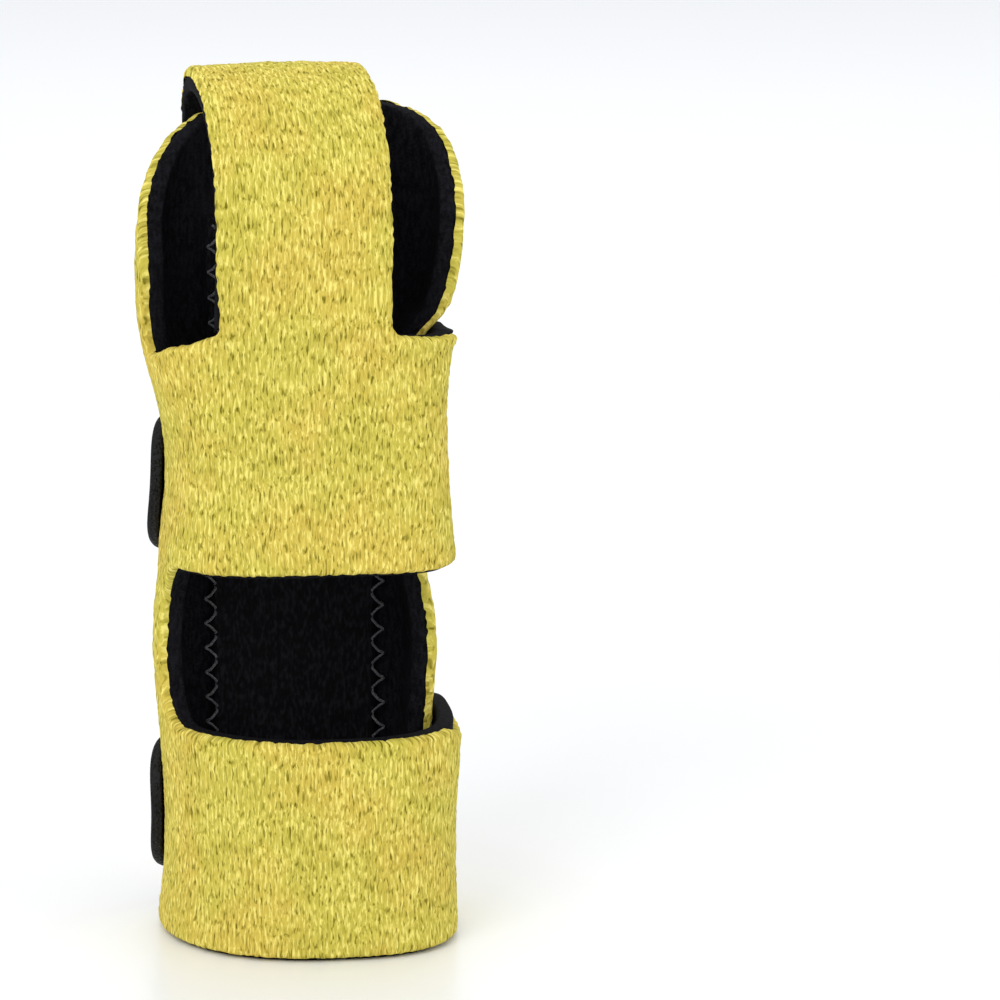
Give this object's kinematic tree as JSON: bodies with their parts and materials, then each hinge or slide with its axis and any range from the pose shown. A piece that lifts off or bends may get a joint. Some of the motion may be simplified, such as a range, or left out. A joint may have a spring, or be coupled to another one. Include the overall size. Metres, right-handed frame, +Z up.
{
  "type": "finger splint",
  "caption": "Soft finger splint: a lined fabric trough with a cupped head, two bands that wrap across the front to hook tabs, and a strap over the fingertip.",
  "frame": {"origin": "centre of the footprint, on the plane the splint stands on", "axes": "+Z up the finger from the lower band to the tip, -Y to the open front that the bands cross, +X to the side where the bands turn to the back"},
  "size_m": [0.0318, 0.0264, 0.0852],
  "materials": {
    "loop_fabric": "ribbed loop pile, matte",
    "foam_lining": "knit-faced foam, matte",
    "hook_tape": "fine hooks, satin",
    "pocket_cloth": "plain knit, matte"
  },
  "bodies": {
    "root": {"back_panel_fabric": "loop_fabric", "back_panel_lining": "foam_lining", "lower_band_fabric": "loop_fabric", "lower_band_lining": "foam_lining", "upper_band_fabric": "loop_fabric", "upper_band_lining": "foam_lining", "tip_strap_fabric": "loop_fabric", "tip_strap_lining": "foam_lining", "stay_pocket": "pocket_cloth", "lower_hook_tab": "hook_tape", "upper_hook_tab": "hook_tape", "strap_hook_patch": "hook_tape"}
  },
  "joints": []
}
